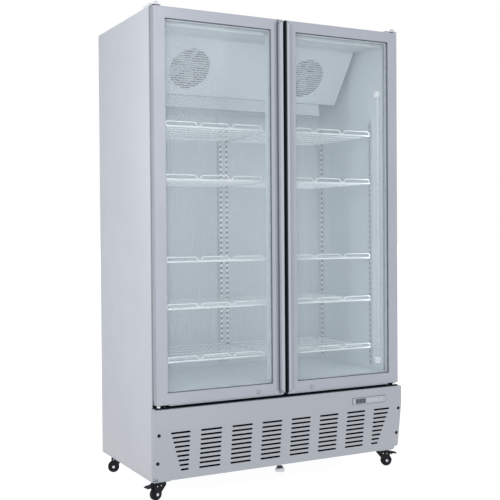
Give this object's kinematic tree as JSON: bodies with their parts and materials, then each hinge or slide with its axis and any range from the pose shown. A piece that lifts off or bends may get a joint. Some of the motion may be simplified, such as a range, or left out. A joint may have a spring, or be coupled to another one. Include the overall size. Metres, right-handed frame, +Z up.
{
  "type": "glass door merchandiser",
  "caption": "Upright refrigerated display cabinet with hinged glass doors, wire shelves, slatted lower panel and swivel castors.",
  "frame": {"origin": "on the floor, under the centre of the bounding box", "axes": "+Z up, +X to the right of someone facing the doors, +Y into the cabinet, so the doors face -Y"},
  "size_m": [1.2304, 0.663, 1.978],
  "materials": {
    "cabinet_paint": "satin",
    "liner_paint": "satin",
    "frame_paint": "satin",
    "panel_paint": "satin",
    "glass": "gloss",
    "gasket_rubber": "matte",
    "shelf_wire": "satin",
    "steel": "satin",
    "zinc": "satin",
    "aluminium": "satin",
    "copper_black": "satin",
    "black_plastic": "matte",
    "grey_plastic": "satin",
    "castor_black": "satin",
    "tread_rubber": "satin",
    "lamp_lens": "gloss"
  },
  "bodies": {
    "cabinet": {"left_wall": "cabinet_paint", "right_wall": "cabinet_paint", "roof": "cabinet_paint", "base_tray": "cabinet_paint", "cabinet_floor": "liner_paint", "rear_wall": "liner_paint", "centre_mullion": "liner_paint", "evaporator_cover": "liner_paint", "drip_tray": "liner_paint", "pilaster_rear_centre": "zinc", "pilaster_front_centre": "zinc", "pilaster_front_left": "zinc", "pilaster_front_right": "zinc", "pilaster_rear_left": "zinc", "pilaster_rear_right": "zinc", "led_lamp_left": "lamp_lens", "led_lamp_right": "lamp_lens", "shelf_left_1": "shelf_wire", "shelf_left_2": "shelf_wire", "shelf_left_3": "shelf_wire", "shelf_left_4": "shelf_wire", "shelf_left_5": "shelf_wire", "shelf_right_1": "shelf_wire", "shelf_right_2": "shelf_wire", "shelf_right_3": "shelf_wire", "shelf_right_4": "shelf_wire", "shelf_right_5": "shelf_wire", "evaporator_coil": "aluminium", "condenser": "aluminium", "hinge_top_left": "steel", "hinge_bottom_left": "steel", "hinge_top_right": "steel", "hinge_bottom_right": "steel", "kick_panel": "panel_paint", "controller": "grey_plastic", "compressor": "copper_black"},
    "door_left": {"door_left_frame": "frame_paint", "door_left_glass": "glass", "door_left_gasket": "gasket_rubber", "door_left_pull": "frame_paint"},
    "lock_left": {"door_left_lock": "steel"},
    "evaporator_fan_left": {"evaporator_fan_left": "black_plastic"},
    "door_right": {"door_right_frame": "frame_paint", "door_right_glass": "glass", "door_right_gasket": "gasket_rubber", "door_right_pull": "frame_paint"},
    "lock_right": {"door_right_lock": "steel"},
    "evaporator_fan_right": {"evaporator_fan_right": "black_plastic"},
    "condenser_fan": {"condenser_fan": "grey_plastic"},
    "centre_foot": {"centre_foot": "grey_plastic"},
    "caster_front_left_fork": {"caster_front_left_fork": "castor_black"},
    "caster_front_left_wheel": {"caster_front_left_wheel": "tread_rubber"},
    "caster_front_right_fork": {"caster_front_right_fork": "castor_black"},
    "caster_front_right_wheel": {"caster_front_right_wheel": "tread_rubber"},
    "caster_rear_left_fork": {"caster_rear_left_fork": "castor_black"},
    "caster_rear_left_wheel": {"caster_rear_left_wheel": "tread_rubber"},
    "caster_rear_right_fork": {"caster_rear_right_fork": "castor_black"},
    "caster_rear_right_wheel": {"caster_rear_right_wheel": "tread_rubber"},
    "caster_front_left_brake": {"caster_front_left_brake": "castor_black"},
    "caster_front_right_brake": {"caster_front_right_brake": "castor_black"}
  },
  "joints": [
    {"name": "door_left_swing", "type": "hinge", "parent": "cabinet", "child": "door_left", "pos_m": [-0.5702, -0.3025, 0.389], "axis": [0, 0, -1], "range_deg": [0, 110]},
    {"name": "door_right_swing", "type": "hinge", "parent": "cabinet", "child": "door_right", "pos_m": [0.5702, -0.3025, 0.389], "axis": [0, 0, 1], "range_deg": [0, 110]},
    {"name": "lock_left_turn", "type": "hinge", "parent": "door_left", "child": "lock_left", "pos_m": [-0.13, -0.3165, 0.4065], "axis": [0, -1, 0], "range_deg": [0, 90]},
    {"name": "lock_right_turn", "type": "hinge", "parent": "door_right", "child": "lock_right", "pos_m": [0.13, -0.3165, 0.4065], "axis": [0, 1, 0], "range_deg": [0, 90]},
    {"name": "evaporator_fan_left_spin", "type": "hinge", "parent": "cabinet", "child": "evaporator_fan_left", "pos_m": [-0.2915, 0.01255, 1.80835], "axis": [0, 0.8099, 0.5865], "continuous": true},
    {"name": "evaporator_fan_right_spin", "type": "hinge", "parent": "cabinet", "child": "evaporator_fan_right", "pos_m": [0.2915, 0.01255, 1.80835], "axis": [0, 0.8099, 0.5865], "continuous": true},
    {"name": "condenser_fan_spin", "type": "hinge", "parent": "cabinet", "child": "condenser_fan", "pos_m": [-0.27, -0.1515, 0.215], "axis": [0, 1, 0], "continuous": true},
    {"name": "centre_foot_screw", "type": "slide", "parent": "cabinet", "child": "centre_foot", "axis": [0, 0, 1], "range_m": [-0.0465, 0.008]},
    {"name": "caster_front_left_swivel", "type": "hinge", "parent": "cabinet", "child": "caster_front_left_fork", "pos_m": [-0.548, -0.2465, 0.066], "axis": [0, 0, 1], "continuous": true},
    {"name": "caster_front_left_roll", "type": "hinge", "parent": "caster_front_left_fork", "child": "caster_front_left_wheel", "pos_m": [-0.56561, -0.25024, 0.025], "axis": [0.2079, -0.9781, 0], "continuous": true},
    {"name": "caster_front_left_pedal", "type": "hinge", "parent": "caster_front_left_fork", "child": "caster_front_left_brake", "pos_m": [-0.57637, -0.25253, 0.062], "axis": [0.2079, -0.9781, 0], "range_deg": [0, 12]},
    {"name": "caster_front_right_swivel", "type": "hinge", "parent": "cabinet", "child": "caster_front_right_fork", "pos_m": [0.548, -0.2465, 0.066], "axis": [0, 0, 1], "continuous": true},
    {"name": "caster_front_right_roll", "type": "hinge", "parent": "caster_front_right_fork", "child": "caster_front_right_wheel", "pos_m": [0.56512, -0.25206, 0.025], "axis": [0.309, 0.9511, 0], "continuous": true},
    {"name": "caster_front_right_pedal", "type": "hinge", "parent": "caster_front_right_fork", "child": "caster_front_right_brake", "pos_m": [0.57558, -0.25546, 0.062], "axis": [0.309, 0.9511, 0], "range_deg": [0, 12]},
    {"name": "caster_rear_left_swivel", "type": "hinge", "parent": "cabinet", "child": "caster_rear_left_fork", "pos_m": [-0.548, 0.2465, 0.066], "axis": [0, 0, 1], "continuous": true},
    {"name": "caster_rear_left_roll", "type": "hinge", "parent": "caster_rear_left_fork", "child": "caster_rear_left_wheel", "pos_m": [-0.56491, 0.25266, 0.025], "axis": [-0.342, -0.9397, 0], "continuous": true},
    {"name": "caster_rear_right_swivel", "type": "hinge", "parent": "cabinet", "child": "caster_rear_right_fork", "pos_m": [0.548, 0.2465, 0.066], "axis": [0, 0, 1], "continuous": true},
    {"name": "caster_rear_right_roll", "type": "hinge", "parent": "caster_rear_right_fork", "child": "caster_rear_right_wheel", "pos_m": [0.56444, 0.25382, 0.025], "axis": [-0.4067, 0.9135, 0], "continuous": true}
  ]
}
